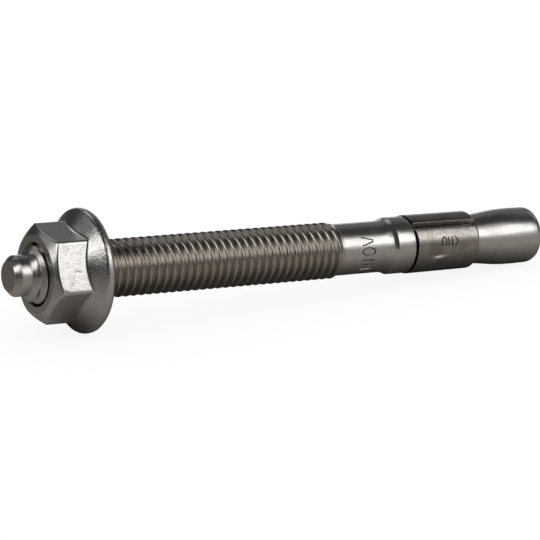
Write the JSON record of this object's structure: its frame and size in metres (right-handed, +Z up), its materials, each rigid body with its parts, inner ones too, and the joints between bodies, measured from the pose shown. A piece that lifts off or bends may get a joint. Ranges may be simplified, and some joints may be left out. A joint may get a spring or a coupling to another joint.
{
  "type": "wedge anchor",
  "caption": "Threaded stud with a flange nut near its dog point and a slit expansion clip rolled round the neck ahead of its cone head, lying on its side.",
  "frame": {"origin": "centre of the bounding box at its bottom, on the surface that the anchor lies on", "axes": "+X runs from the dog point to the cone head, along the longest side; the stud's axis dips 3.52 degrees below +X, because the anchor rests on the nut's flange and the cone head; +Z is up"},
  "size_m": [0.1056, 0.021, 0.021],
  "materials": {
    "stud_steel": "bright rolled and turned stainless steel",
    "clip_steel": "duller rolled stainless sheet",
    "nut_steel": "bright forged stainless steel"
  },
  "bodies": {
    "stud": {"stud": "stud_steel"},
    "nut": {"flange_nut": "nut_steel"},
    "clip": {"expansion_clip": "clip_steel"}
  },
  "joints": [
    {"name": "nut_travel", "type": "slide", "parent": "stud", "child": "nut", "axis": [0.9981, 0, -0.0615], "range_m": [-0.0075, 0.0465]},
    {"name": "clip_turn", "type": "hinge", "parent": "stud", "child": "clip", "pos_m": [0.0312, 0, 0.00619], "axis": [0.9981, 0, -0.0615], "continuous": true}
  ]
}
